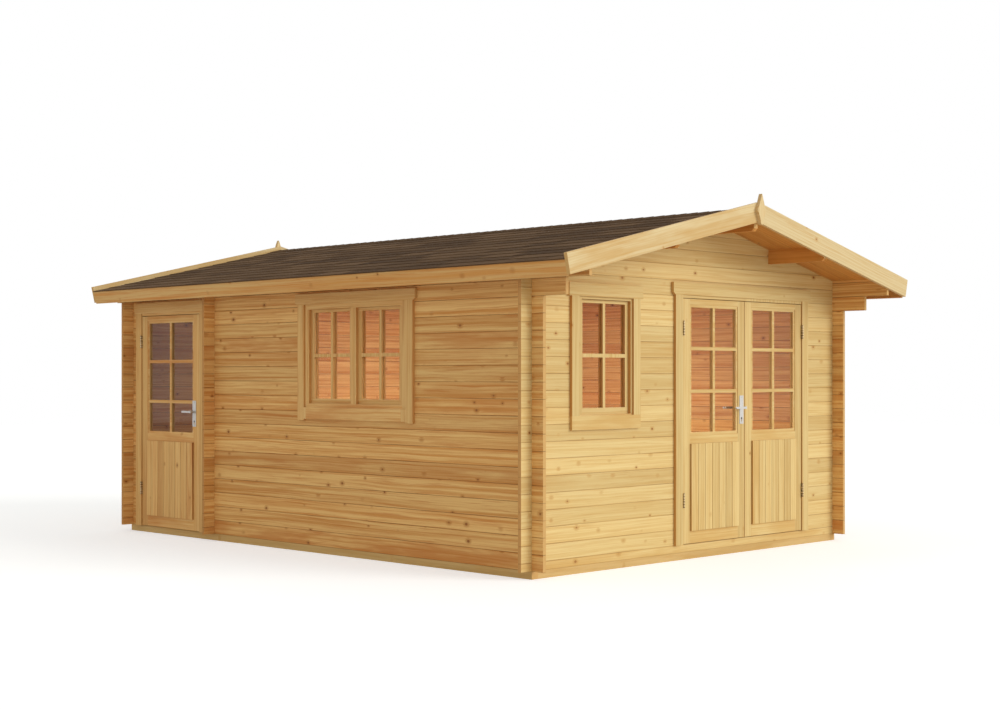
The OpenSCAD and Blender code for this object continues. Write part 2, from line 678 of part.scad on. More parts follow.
// Boards of the lower panel, with a V groove on both faces between them, on a tongued edge
module leaf_panel(w, n) {
  pitch_x = (w - 2 * stile_w) / n;
  g = 3;
  translate([0, panel_y, bottom_rail + pane_gap]) linear_extrude(panel_h - 2 * pane_gap)
    difference() {
      translate([stile_w + pane_gap, 0]) square([w - 2 * stile_w - 2 * pane_gap, panel_t]);
      for (i = [1 : n - 1], y = [0, panel_t]) translate([stile_w + i * pitch_x, y])
        rotate(45) square(g * sqrt(2), center = true);
    }
  box([stile_w - panel_in, tongue_y, bottom_rail - panel_in],
    [w - stile_w + panel_in, tongue_y + tongue_t, bottom_rail + panel_h + panel_in]);
}
// Plates on both faces, bored for the lever and pierced for the key
module leaf_plates(w, lock) for (y = [leaf_y - plate_t, leaf_y + leaf_t]) difference() {
  box([w - lock - plate_w / 2, y, lever_z - plate_drop - plate_h / 2],
    [w - lock + plate_w / 2, y + plate_t, lever_z - plate_drop + plate_h / 2]);
  translate([w - lock, y - 1, lever_z]) rotate([-90, 0, 0]) cylinder(r = neck_r + run_gap, h = plate_t + 2);
  translate([w - lock, y - 1, lever_z - key_drop]) rotate([-90, 0, 0]) cylinder(r = key_r, h = plate_t + 2);
  box([w - lock - 5, y - 1, lever_z - key_drop - key_slot],
    [w - lock + 5, y + plate_t + 1, lever_z - key_drop]);
}
module leaf_lever(w, lock) translate([w - lock, 0, lever_z]) rotate([90, 0, 0]) {
  out = -leaf_y;
  inn = leaf_y + leaf_t;
  translate([0, 0, out]) cylinder(r = neck_r, h = lever_off);
  translate([0, 0, -inn - lever_off]) cylinder(r = neck_r, h = lever_off);
  translate([0, 0, -inn - 1]) cylinder(r = 4.5, h = leaf_t + 2);
  for (z = [out + lever_off - 1, -inn - lever_off - 9]) translate([0, 0, z]) linear_extrude(10) {
    circle(11);
    translate([9 - lever_l, -8]) square([lever_l - 9, 16]);
    translate([9 - lever_l, 0]) circle(8);
  }
}

// ---- hinges: three knuckles on the frame, two on the leaf, one pin ----
kn = hinge_h / 5;
kn_gap = 0.5;
module knuckle(i) translate([-hinge_x, hinge_y, i * kn + kn_gap / 2])
  cylinder(r = knuckle_r, h = kn - kn_gap);
module hinge_frame_half() for (z = hinge_zs) translate([0, 0, z - hinge_h / 2]) {
  for (i = [0, 2, 4]) {
    knuckle(i);
    box([-leaf_gap - hinge_plate_t, hinge_y, i * kn + kn_gap / 2],
      [-leaf_gap, -casing_t + 1, (i + 1) * kn - kn_gap / 2]);
  }
  box([-leaf_gap - hinge_plate_t, -casing_t, 0], [-leaf_gap, 8, hinge_h]);
  translate([-hinge_x, hinge_y, -2]) cylinder(r = pin_r, h = hinge_h + 4);
  for (h = [-4, hinge_h + 0.25 - kn_gap / 2]) translate([-hinge_x, hinge_y, h])
    cylinder(r = knuckle_r - 1, h = 4 + kn_gap / 2);
}
module hinge_leaf_half() for (z = hinge_zs) translate([0, 0, z - hinge_h / 2]) difference() {
  union() {
    for (i = [1, 3]) {
      knuckle(i);
      box([0, hinge_y, i * kn + kn_gap / 2], [hinge_plate_t, leaf_y + 1, (i + 1) * kn - kn_gap / 2]);
    }
    box([0, leaf_y, 0], [hinge_plate_t, 8, hinge_h]);
  }
  translate([-hinge_x, hinge_y, -10]) cylinder(r = pin_r + run_gap, h = hinge_h + 20);
}

// ---- the three doors in place ----
module at_left_leaf() at_front() translate([door_x - door_w / 2 + leaf_gap, 0, main_leaf_z]) children();
module at_right_leaf() at_front() translate([door_x + door_w / 2 - leaf_gap, 0, main_leaf_z])
  mirror([1, 0, 0]) children();
module at_store_leaf() at_left() translate([store_y + store_w / 2 - leaf_gap, 0, store_leaf_z])
  mirror([1, 0, 0]) children();
main_lock = 40;
store_lock = 72;
store_boards = round(panel_boards * (store_leaf_w - 2 * stile_w) / (leaf_w - 2 * stile_w));

even_pane = (leaf_glass_h - 2 * bar_w) / 3;
module left_leaf() color("#ecd49a") at_left_leaf() leaf_body(leaf_w, main_lock, even_pane);
module left_panel() color("#e6c98c") at_left_leaf() leaf_panel(leaf_w, panel_boards);
module left_glass() color("#a8c4cc") at_left_leaf() leaf_glass(leaf_w);
module left_plates() color("#c9ccd0") at_left_leaf() leaf_plates(leaf_w, main_lock);
module left_lever() color("#b8bcc2") at_left_leaf() leaf_lever(leaf_w, main_lock);
module right_leaf() color("#ecd49a") at_right_leaf() leaf_body(leaf_w, 0, even_pane);
module right_panel() color("#e6c98c") at_right_leaf() leaf_panel(leaf_w, panel_boards);
module right_glass() color("#a8c4cc") at_right_leaf() leaf_glass(leaf_w);
module frame_hinges() color("#9a9da2") {
  at_left_leaf() hinge_frame_half();
  at_right_leaf() hinge_frame_half();
  at_store_leaf() hinge_frame_half();
}
module left_leaf_hinges() color("#9a9da2") at_left_leaf() hinge_leaf_half();
module right_leaf_hinges() color("#9a9da2") at_right_leaf() hinge_leaf_half();
module store_leaf() color("#dca868") at_store_leaf() leaf_body(store_leaf_w, store_lock, low_pane);
module store_panel() color("#d8a262") at_store_leaf() leaf_panel(store_leaf_w, store_boards);
module store_glass() color("#a8c4cc") at_store_leaf() leaf_glass(store_leaf_w);
module store_plates() color("#c9ccd0") at_store_leaf() leaf_plates(store_leaf_w, store_lock);
module store_lever() color("#b8bcc2") at_store_leaf() leaf_lever(store_leaf_w, store_lock);
module store_leaf_hinges() color("#9a9da2") at_store_leaf() hinge_leaf_half();

base_frame();
floor_boards();
front_sill();
front_wall_left();
front_wall_right();
front_gable();
left_wall();
left_wall_rear();
left_wall_top();
right_wall();
rear_wall();
partition_wall();
ridge_purlin();
side_purlins();
left_roof_boards();
right_roof_boards();
left_shingles();
right_shingles();
ridge_cap();
fascia_boards();
front_barge_left();
front_barge_right();
rear_barge_left();
rear_barge_right();
finials();
front_window_frame();
front_window_sash();
side_window_frame();
side_window_sashes();
window_glass();
door_frame();
left_leaf();
left_panel();
left_glass();
left_plates();
left_lever();
right_leaf();
right_panel();
right_glass();
store_frame();
store_leaf();
store_panel();
store_glass();
store_plates();
store_lever();
frame_hinges();
left_leaf_hinges();
right_leaf_hinges();
store_leaf_hinges();
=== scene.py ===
import math

import bpy
from mathutils import Matrix, Vector


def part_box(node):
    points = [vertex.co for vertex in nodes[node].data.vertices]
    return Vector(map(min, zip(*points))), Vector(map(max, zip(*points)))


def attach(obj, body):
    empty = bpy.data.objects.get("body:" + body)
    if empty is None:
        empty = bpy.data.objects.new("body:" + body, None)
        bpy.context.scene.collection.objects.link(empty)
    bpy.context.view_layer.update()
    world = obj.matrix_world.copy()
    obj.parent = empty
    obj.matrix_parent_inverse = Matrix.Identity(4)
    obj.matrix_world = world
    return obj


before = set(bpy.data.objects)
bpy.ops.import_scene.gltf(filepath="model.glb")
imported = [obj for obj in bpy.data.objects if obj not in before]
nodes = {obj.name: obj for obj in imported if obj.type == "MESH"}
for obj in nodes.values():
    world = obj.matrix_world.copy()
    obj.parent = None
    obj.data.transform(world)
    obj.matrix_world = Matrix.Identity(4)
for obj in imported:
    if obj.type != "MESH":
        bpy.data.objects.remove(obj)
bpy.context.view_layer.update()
print("frame loaded:", len(nodes), "nodes")

# sizes taken from the frame
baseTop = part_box("base_frame")[1].z
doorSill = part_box("front_sill")[1].z
logHeight = 2 * (doorSill - baseTop)
house = {
    "pitch": math.radians(13),
    "shingleRows": 13,
    "boardPitch": 0.096,
    "frontY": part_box("front_sill")[0].y,
    "leftX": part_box("left_wall")[0].x,
    "rightX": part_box("right_wall")[1].x,
}


# shader helper: sockets that take Python's operators
class Wire:
    def __init__(self, board, socket):
        self.board, self.socket = board, socket

    def __add__(self, other): return self.board.math("ADD", self, other)
    def __radd__(self, other): return self.board.math("ADD", other, self)
    def __sub__(self, other): return self.board.math("SUBTRACT", self, other)
    def __rsub__(self, other): return self.board.math("SUBTRACT", other, self)
    def __mul__(self, other): return self.board.math("MULTIPLY", self, other)
    def __rmul__(self, other): return self.board.math("MULTIPLY", other, self)
    def __truediv__(self, other): return self.board.math("DIVIDE", self, other)
    def __gt__(self, other): return self.board.math("GREATER_THAN", self, other)
    def __lt__(self, other): return self.board.math("LESS_THAN", self, other)
    def __abs__(self): return self.board.math("ABSOLUTE", self)


class Board:
    def __init__(self, name, world=None):
        self.material = world or bpy.data.materials.new(name)
        self.material.use_nodes = True
        self.tree = self.material.node_tree
        self.tree.nodes.clear()

    def add(self, kind, settings=None, inputs=None, out=0):
        node = self.tree.nodes.new(kind)
        for key, value in (settings or {}).items():
            if key == "stops":
                ramp = node.color_ramp
                while len(ramp.elements) < len(value):
                    ramp.elements.new(0.5)
                for element, (place, colour) in zip(ramp.elements, value):
                    element.position, element.color = place, (*colour, 1)
            else:
                setattr(node, key, value)
        for key, value in (inputs or {}).items():
            if isinstance(value, Wire):
                self.tree.links.new(value.socket, node.inputs[key])
            else:
                if isinstance(value, tuple) and node.inputs[key].type == "RGBA" and len(value) == 3:
                    value = (*value, 1)
                node.inputs[key].default_value = value
        return Wire(self, node.outputs[out]) if len(node.outputs) else node

    def math(self, operation, *values):
        return self.add("ShaderNodeMath", {"operation": operation}, dict(enumerate(values)))

    def vector(self, x, y, z):
        return self.add("ShaderNodeCombineXYZ", None, {0: x, 1: y, 2: z})

    def parts(self, wire):
        node = self.add("ShaderNodeSeparateXYZ", None, {0: wire}).socket.node
        return [Wire(self, s) for s in node.outputs]

    def place(self):
        return self.add("ShaderNodeTexCoord", out="Object")

    def facing(self):
        return self.add("ShaderNodeTexCoord", out="Normal")

    def dot(self, wire, direction):
        return self.vectorMath("DOT_PRODUCT", wire, direction, "Value")

    def vectorMath(self, operation, a, b, out=0):
        return self.add("ShaderNodeVectorMath", {"operation": operation}, {0: a, 1: b}, out)

    def mixed(self, share, a, b, blend="MIX"):
        return self.add("ShaderNodeMix", {"data_type": "RGBA", "blend_type": blend},
                        {0: share, 6: a, 7: b}, 2)

    def blended(self, share, a, b):
        return self.add("ShaderNodeMix", {"data_type": "FLOAT"}, {0: share, 2: a, 3: b}, 0)

    def vectorMixed(self, share, a, b):
        return self.add("ShaderNodeMix", {"data_type": "VECTOR"}, {0: share, 4: a, 5: b}, 1)

    def noise(self, wire, scale, detail=3, rough=0.5, distortion=0.0):
        return self.add("ShaderNodeTexNoise", {"noise_dimensions": "3D"},
                        {"Vector": wire, "Scale": scale, "Detail": detail, "Roughness": rough,
                         "Distortion": distortion}, 0)

    def chance(self, wire, colour=False):
        return self.add("ShaderNodeTexWhiteNoise", {"noise_dimensions": "3D"}, {"Vector": wire},
                        1 if colour else 0)

    def eased(self, wire, low, high, first=0.0, last=1.0):
        return self.add("ShaderNodeMapRange", {"interpolation_type": "SMOOTHSTEP"},
                        {0: wire, 1: low, 2: high, 3: first, 4: last})

    def whole(self, wire):
        return self.math("FLOOR", wire)

    def surface(self, colour, rough, bump=None, strength=0.3, distance=0.001, **fixed):
        shader = self.tree.nodes.new("ShaderNodeBsdfPrincipled")
        for key, value in {"Base Color": colour, "Roughness": rough, **fixed}.items():
            if isinstance(value, Wire):
                self.tree.links.new(value.socket, shader.inputs[key])
            else:
                shader.inputs[key].default_value = (*value, 1) if isinstance(value, tuple) else value
        if bump is not None:
            normal = self.add("ShaderNodeBump", None, {"Strength": strength, "Distance": distance,
                                                       "Height": bump}, "Normal")
            self.tree.links.new(normal.socket, shader.inputs["Normal"])
        self.finish(Wire(self, shader.outputs[0]))
        return self.material

    def finish(self, shader):
        self.add("ShaderNodeOutputMaterial", None, {0: shader})


# wood
# pale and band are early and late growth, red is the heart wood that some boards are cut from
spruce = {
    "pale": (0.810, 0.640, 0.305), "band": (0.680, 0.460, 0.165), "red": (0.620, 0.365, 0.105),
    # the joint colour and its share darken the joints: partly dirt, partly painted shade in the V-grooves
    "knot": (0.310, 0.120, 0.030), "halo": (0.560, 0.300, 0.080), "jointDirtAndShade": (0.300, 0.115, 0.026),
    "cut": (0.720, 0.480, 0.195), "cutRing": (0.570, 0.315, 0.105),
    # the side-face colour and its share are painted shade: a deeper orange on the side faces of boards
    "edge": (0.560, 0.235, 0.055), "edgeShare": 0.0, "jointDirtAndShadeShare": 0.52,
    "bandWidth": 0.020, "knotSize": (0.005, 0.010), "knotEvery": 0.26, "contrast": 0.75, "rough": 0.62,
}
shaded = dict(spruce, pale=(0.910, 0.610, 0.245), band=(0.680, 0.330, 0.090), red=(0.600, 0.225, 0.052),
              knot=(0.270, 0.095, 0.024), halo=(0.480, 0.195, 0.048), jointDirtAndShade=(0.200, 0.062, 0.014),
              contrast=1.10, jointDirtAndShadeShare=0.62, knotSize=(0.005, 0.010))
# trim, shaded trim and barge boards carry painted shade on the side faces of their boards
trim = dict(spruce, pale=(0.780, 0.610, 0.285), band=(0.680, 0.470, 0.180), knotEvery=0.9,
            knotSize=(0.004, 0.008), bandWidth=0.012, contrast=0.9, edgeShare=0.70)
shadedTrim = dict(shaded, pale=(0.880, 0.600, 0.255), band=(0.760, 0.420, 0.130), knotEvery=0.9,
                  knotSize=(0.004, 0.008), bandWidth=0.012, contrast=0.9, edgeShare=0.55)
barge = dict(trim, pale=(0.780, 0.640, 0.370), band=(0.690, 0.510, 0.250), edgeShare=0.25)
# roof boards and purlins are painted a deep orange: painted shade for the underside of the roof
shadedSoffit = dict(spruce, pale=(0.680, 0.330, 0.085), band=(0.560, 0.220, 0.045), red=(0.500, 0.180, 0.035))
sawn = dict(spruce, pale=(0.700, 0.500, 0.225), band=(0.560, 0.360, 0.130), rough=0.75)


# one chance of a knot a cell, at its true size however long the cell is
def knots(board, along, across, depth, seed, look):
    cell = Vector((look["knotEvery"], 0.114, 0.114))
    spot = board.vector(along / cell.x + seed, across / cell.y, depth / cell.z + seed)
    node = board.add("ShaderNodeTexVoronoi", {"voronoi_dimensions": "3D", "feature": "F1"},
                     {"Vector": spot, "Scale": 1.0, "Randomness": 0.9}).socket.node
    luck = board.parts(Wire(board, node.outputs["Color"]))
    away = board.vectorMath("SUBTRACT", spot, Wire(board, node.outputs["Position"]))
    away = board.vectorMath("MULTIPLY", away, (cell.x * 0.72, cell.y, cell.z * 0.3))
    distance = board.add("ShaderNodeVectorMath", {"operation": "LENGTH"}, {0: away}, "Value")
    small, large = look["knotSize"]
    grows = luck[0] > 0.48
    near = distance / (luck[1] * (large - small) + small)
    core = board.eased(near, 0.65, 1.20, 1.0, 0.0) * grows
    halo = board.eased(near, 1.0, 3.2, 1.0, 0.0) * grows
    return core, halo, luck[2]


# turns a metre of each layer: along, across and into the board; wide turns once a band across
figure = {"sway": (0.8, 5.0, 5.0), "swayBy": 0.050, "swerve": 0.008, "wide": (0.45, 18.0),
          "fine": (1.2, 190.0, 60.0), "fibre": (6.0, 520.0, 520.0), "streak": (2.0, 72.0, 40.0),
          "stain": (1.5, 9.0, 9.0), "redShare": 0.62, "streakShare": 0.50, "fineShare": 0.36,
          "fibreShare": 0.20, "dull": 0.90, "bright": 1.07}


# local is (along, across, depth) in metres, luck three numbers from 0 to 1 for the whole board
def grain(board, local, luck, look):
    along, across, depth = board.parts(local)
    tone, heart, seed = board.parts(luck)
    seed = seed * 37.0
    core, halo, dark = knots(board, along, across, depth, seed, look)

    def layer(name, across, detail, rough):
        run, wide, deep = figure[name]
        return board.noise(board.vector(along * run + seed, across * wide, depth * deep), 1.0, detail, rough)

    # growth bands run along the board and swerve round the knots
    level = across + layer("sway", across, 3, 0.5) * figure["swayBy"] + halo * figure["swerve"]
    run, deep = figure["wide"]
    wide = board.noise(board.vector(level / look["bandWidth"], depth * deep, along * run + seed),
                       1.0, 3, 0.60)
    run, close, deep = figure["fine"]
    fine = board.noise(board.vector(level * close, depth * deep, along * run + seed), 1.0, 3, 0.55)
    fibre = layer("fibre", across, 3, 0.6)
    streak = layer("streak", level, 4, 0.60)
    stain = layer("stain", across, 3, 0.55)
    force = look["contrast"]
    colour = board.mixed(board.eased(wide, 0.40, 0.66) * 0.85 * force, look["pale"], look["band"])
    reddish = board.eased(heart, 0.45, 1.0) * board.eased(stain, 0.36, 0.62)
    colour = board.mixed(reddish * figure["redShare"] * force, colour, look["red"])
    colour = board.mixed(board.eased(streak, 0.50, 0.68) * figure["streakShare"] * force, colour, look["red"])
    colour = board.mixed(board.eased(fine, 0.50, 0.70) * figure["fineShare"] * force, colour, look["red"])
    colour = board.mixed(board.eased(fibre, 0.50, 0.75) * figure["fibreShare"], colour, look["band"])
    bright = board.blended(tone, figure["dull"], figure["bright"])
    colour = board.mixed(1.0, colour, board.vector(bright, bright, bright), "MULTIPLY")
    colour = board.mixed(halo * 0.55, colour, look["halo"])
    colour = board.mixed(core * board.blended(dark, 0.70, 1.0), colour, look["knot"])
    height = fibre * 0.3 + wide * 0.3 - core * 0.4
    return colour, height, core


# cut ends show curved rings and a drier tone
def endGrain(board, colour, local, share, look):
    along, across, depth = board.parts(local)
    far = board.math("SQRT", (across - 0.03) * (across - 0.03) * 0.6 + (depth + 0.05) * (depth + 0.05))
    wobble = board.noise(board.vector(across * 9, depth * 9, along), 1.0, 2, 0.5) * 0.010
    rings = board.math("SINE", (far + wobble) * 1500.0) * 0.5 + 0.5
    return board.mixed(share, colour, board.mixed(rings * 0.5 + 0.15, look["cut"], look["cutRing"]))


# along and across are unit vectors; split gives 1 where the grain turns by 90 degrees,
# boards a vector that is constant on each board, and joints the distance in metres to the nearest one
def woodFinish(name, look, along, across, split=None, boards=None, joints=None):
    board = Board(name)
    point = board.place()
    x, y, z = board.parts(point)
    facing = board.facing()
    depthAxis = Vector(along).cross(Vector(across))
    local = board.vector(board.dot(point, tuple(along)), board.dot(point, tuple(across)),
                         board.dot(point, tuple(depthAxis)))
    endShare = abs(board.dot(facing, tuple(along)))
    if split is not None:
        turned = board.vector(board.dot(point, tuple(across)), board.dot(point, tuple(along)),
                              board.dot(point, tuple(depthAxis)))
        share = split(board, x, y, z)
        local = board.vectorMixed(share, local, turned)
        endShare = board.blended(share, endShare, abs(board.dot(facing, tuple(across))))
    spot = boards(board, x, y, z) if boards else board.vector(0.3 + len(name), 0.1, 0.7)
    colour, height, core = grain(board, local, board.chance(spot, colour=True), look)
    # the side faces of a board, away from its broad face, are painted a deeper orange as painted shade
    if look["edgeShare"] > 0:
        edgeOn = board.eased(abs(board.dot(facing, tuple(depthAxis))), 0.30, 0.70, look["edgeShare"], 0.0)
        colour = board.mixed(edgeOn, colour, look["edge"])
    colour = endGrain(board, colour, local, board.eased(endShare, 0.80, 0.97), look)
    # joints are painted darker, unevenly along their length: partly dirt in the joints, partly painted shade
    # in the V-grooves
    if joints is not None:
        patchy = board.eased(board.noise(local, 1.7, 2, 0.5), 0.30, 0.70, 0.45, 1.0)
        line = board.eased(joints(board, x, y, z), 0.0012, 0.0040, look["jointDirtAndShadeShare"], 0.0)
        colour = board.mixed(line * patchy, colour, look["jointDirtAndShade"])
    return board.surface(colour, look["rough"] - core * 0.12, height, 0.30, 0.0008,
                         **{"Specular IOR Level": 0.22})


acrossX, acrossY, up = Vector((1, 0, 0)), Vector((0, 1, 0)), Vector((0, 0, 1))


def chosen(axis, x, y, z):
    return {"x": x, "y": y, "z": z}[axis]


def stripBoards(axis, start, pitch):
    def pick(board, x, y, z):
        return board.vector(board.whole((chosen(axis, x, y, z) - start) / pitch) + 0.5, 0.61, 0.23)
    return pick


def stripJoints(axis, start, pitch):
    return lambda board, x, y, z: board.math("PINGPONG", chosen(axis, x, y, z) - start, pitch / 2)


def strips(axis, start, pitch):
    return {"boards": stripBoards(axis, start, pitch), "joints": stripJoints(axis, start, pitch)}


def dress(names, material):
    for name in names:
        mesh = nodes[name].data
        mesh.materials.clear()
        mesh.materials.append(material)


crossStart = baseTop - logHeight / 2
crossLogs = strips("z", crossStart, logHeight)
sideLogs = strips("z", baseTop, logHeight)
# the front logs' cut ends are painted darker and redder: painted shade for the log ends seen on the shaded
# side
dress(["front_sill", "front_wall_left", "front_wall_right", "front_gable"],
      woodFinish("frontLogs", dict(spruce, cut=(0.700, 0.410, 0.150), cutRing=(0.550, 0.265, 0.082)),
                 acrossX, up, **crossLogs))
# the rear and partition log ends are painted darker still: painted shade for log ends in shade
dress(["rear_wall", "partition_wall"],
      woodFinish("rearLogs", dict(shaded, cut=(0.640, 0.350, 0.120), cutRing=(0.480, 0.215, 0.062)),
                 acrossX, up, **crossLogs))
dress(["left_wall", "left_wall_rear", "left_wall_top"],
      woodFinish("leftLogs", shaded, acrossY, up, **sideLogs))
dress(["right_wall"], woodFinish("rightLogs", shaded, acrossY, up, **sideLogs))
dress(["side_purlins", "ridge_purlin"],
      woodFinish("purlins", shadedSoffit, acrossY, up,
                 boards=lambda board, x, y, z: board.vector(board.whole(x / 0.5), 0.3, 0.9)))
dress(["fascia_boards"], woodFinish("fascia", dict(shaded, pale=(0.740, 0.490, 0.200)), acrossY, up,
                                    boards=lambda board, x, y, z: board.vector(x > 0, 0.2, 0.2)))
print("log walls dressed")

slopeLeft = Vector((-math.cos(house["pitch"]), 0, -math.sin(house["pitch"])))
slopeRight = Vector((math.cos(house["pitch"]), 0, -math.sin(house["pitch"])))
slopeUpLeft = Vector((-math.sin(house["pitch"]), 0, math.cos(house["pitch"])))
slopeUpRight = Vector((math.sin(house["pitch"]), 0, math.cos(house["pitch"])))
roofBoardRun = strips("y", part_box("left_roof_boards")[0].y, house["boardPitch"])
for side, slope, lift in (("left", slopeLeft, slopeUpLeft), ("right", slopeRight, slopeUpRight)):
    dress([f"front_barge_{side}", f"rear_barge_{side}"], woodFinish(f"barge_{side}", barge, slope, lift))
    dress([f"{side}_roof_boards"], woodFinish(f"roofBoards_{side}", shadedSoffit, slope, acrossY, **roofBoardRun))
dress(["finials"], woodFinish("finials", barge, up, acrossX))
dress(["floor_boards"],
      woodFinish("floorBoards", spruce, acrossY, acrossX,
                 **strips("x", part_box("floor_boards")[0].x, house["boardPitch"])))
dress(["base_frame"], woodFinish("bearers", sawn, acrossX, acrossY,
                                 split=lambda board, x, y, z: abs(x) > house["rightX"] - 0.06))
print("roof timbers dressed")


# joinery: grain follows each rail and stile
# level grain in the head board, the sill board, and above and below the sash; upright in the rest
def frameFinish(name, look, axis, sash, head, sill):
    index = "xyz".index(axis)
    low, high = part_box(name)
    sashLow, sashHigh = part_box(sash)
    middle = (sashLow[index] + sashHigh[index]) / 2
    half = (sashHigh[index] - sashLow[index]) / 2 + 0.02

    def level(board, x, y, z):
        inside = abs(chosen(axis, x, y, z) - middle) < half
        beyond = board.math("MAXIMUM", z > sashHigh.z, z < sashLow.z)
        ends = board.math("MAXIMUM", z > high.z - head, z < low.z + sill)
        return board.math("MAXIMUM", ends, inside * beyond)

    def pick(board, x, y, z):
        lying = level(board, x, y, z)
        side = (chosen(axis, x, y, z) > middle) * (1 - lying)
        return board.vector(lying * 2.0 + (z < sashLow.z) * lying, side * 3.0, 0.7)

    return woodFinish(name + "Wood", look, up, acrossX if axis == "x" else acrossY, split=level, boards=pick)


joinery = {"frontHead": 0.090, "sideHead": 0.082, "sill": 0.096, "lowRail": 0.045, "topRail": 0.024,
           "stile": 0.085}
for name, look, axis, sash, head, sill in (
        ("front_window_frame", trim, "x", "front_window_sash", joinery["frontHead"], joinery["sill"]),
        ("side_window_frame", shadedTrim, "y", "side_window_sashes", joinery["sideHead"], 0.0),
        ("door_frame", trim, "x", "left_leaf", joinery["frontHead"], 0.0),
        ("store_frame", shadedTrim, "y", "store_leaf", joinery["frontHead"], 0.0)):
    dress([name], frameFinish(name, look, axis, sash, head, sill))


# 1 in the rails of a sash, where the grain lies level
def railed(low, high, bottom, top):
    return lambda board, x, y, z: board.math("MAXIMUM", z > high.z - top, z < low.z + bottom)


for name, look, axis in (("front_window_sash", trim, "x"), ("side_window_sashes", shadedTrim, "y")):
    low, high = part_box(name)
    dress([name], woodFinish(name + "Wood", look, up, acrossX if axis == "x" else acrossY,
                             split=railed(low, high, joinery["lowRail"], joinery["topRail"])))


# upright grain in the stiles, level grain in the rails between them
def leafFinish(name, look, axis):
    index = "xyz".index(axis)
    low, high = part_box(name)
    first, last = low[index] + joinery["stile"], high[index] - joinery["stile"]

    def level(board, x, y, z):
        wire = chosen(axis, x, y, z)
        return (wire > first) * (wire < last)

    def pick(board, x, y, z):
        rail = level(board, x, y, z)
        far = chosen(axis, x, y, z) > (first + last) / 2
        return board.vector(rail * (board.whole((z - low.z) / 0.45) + 1.0), (1 - rail) * far * 2.0, 0.4)

    return woodFinish(name + "Wood", look, up, acrossX if axis == "x" else acrossY, split=level, boards=pick)


for side, look, axis, count in (("left", trim, "x", 7), ("right", trim, "x", 7),
                                ("store", shadedTrim, "y", 8)):
    index = "xyz".index(axis)
    dress([f"{side}_leaf"], leafFinish(f"{side}_leaf", look, axis))
    low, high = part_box(f"{side}_leaf")
    width = (high[index] - low[index] - 2 * joinery["stile"]) / count
    # the panel boards also carry painted shade on their side faces
    dress([f"{side}_panel"],
          woodFinish(f"{side}PanelWood", dict(look, bandWidth=0.010, edgeShare=0.35), up,
                     acrossX if axis == "x" else acrossY,
                     **strips(axis, low[index] + joinery["stile"], width)))
print("joinery dressed")


# shingles, glass and steel
bitumen = {"stops": [(0.10, (0.062, 0.038, 0.024)), (0.45, (0.112, 0.069, 0.040)),
                     (0.80, (0.170, 0.108, 0.064))],
           "paleGrit": (0.24, 0.16, 0.095), "darkGrit": (0.038, 0.023, 0.015)}


def shingleFinish(name, toned=True):
    board = Board(name)
    point = board.place()
    x, y, z = board.parts(point)
    tone = board.add("ShaderNodeAttribute", {"attribute_name": "tone"}, None, "Fac")
    grit = board.noise(point, 900.0, 2, 0.7)
    cloud = board.noise(point, 2.2, 4, 0.6)
    patch = board.noise(board.vector(x * 6.0, y * 1.5, z * 6.0), 2.0, 3, 0.6)
    shade = tone * 0.55 + cloud * 0.3 + patch * 0.15 if toned else cloud * 0.6 + patch * 0.3
    colour = board.add("ShaderNodeValToRGB", {"stops": bitumen["stops"]}, {0: shade})
    colour = board.mixed(board.eased(grit, 0.50, 0.75) * 0.45, colour, bitumen["paleGrit"])
    colour = board.mixed(board.eased(grit, 0.48, 0.25) * 0.5, colour, bitumen["darkGrit"])
    return board.surface(colour, 0.95, grit, 0.5, 0.0012, **{"Specular IOR Level": 0.05})


shingleMaterial = shingleFinish("bitumenShingle")
capMaterial = shingleFinish("bitumenCap", toned=False)
dress(["left_shingles", "right_shingles", "ridge_cap"], capMaterial)


glass = {"tint": (0.96, 0.95, 0.93), "ior": 1.22, "shadowTint": (0.92, 0.94, 0.93)}


def glassFinish():
    board = Board("windowGlass")
    point = board.place()
    ripple = board.noise(point, 3.0, 2, 0.5)
    shader = board.tree.nodes.new("ShaderNodeBsdfPrincipled")
    for key, value in (("Base Color", (*glass["tint"], 1)), ("Roughness", 0.02), ("IOR", glass["ior"]),
                       ("Transmission Weight", 1.0)):
        shader.inputs[key].default_value = value
    bump = board.add("ShaderNodeBump", None, {"Strength": 0.02, "Distance": 0.002, "Height": ripple},
                     "Normal")
    board.tree.links.new(bump.socket, shader.inputs["Normal"])
    clear = board.add("ShaderNodeBsdfTransparent", None, {0: glass["shadowTint"]})
    shadow = board.add("ShaderNodeLightPath", out="Is Shadow Ray")
    board.finish(board.add("ShaderNodeMixShader", None,
                           {0: shadow, 1: Wire(board, shader.outputs[0]), 2: clear}))
    return board.material


dress(["window_glass", "left_glass", "right_glass", "store_glass"], glassFinish())


def steelFinish(name, colour, rough):
    board = Board(name)
    point = board.place()
    x, y, z = board.parts(point)
    brush = board.noise(board.vector(x * 2000, y * 2000, z * 60), 1.0, 3, 0.6)
    smear = board.noise(point, 45.0, 3, 0.6)
    tint = board.mixed(board.eased(smear, 0.3, 0.7) * 0.35, colour, tuple(c * 0.72 for c in colour))
    roughness = rough + brush * 0.12 + smear * 0.08
    return board.surface(tint, roughness, brush, 0.08, 0.0002, Metallic=1.0)


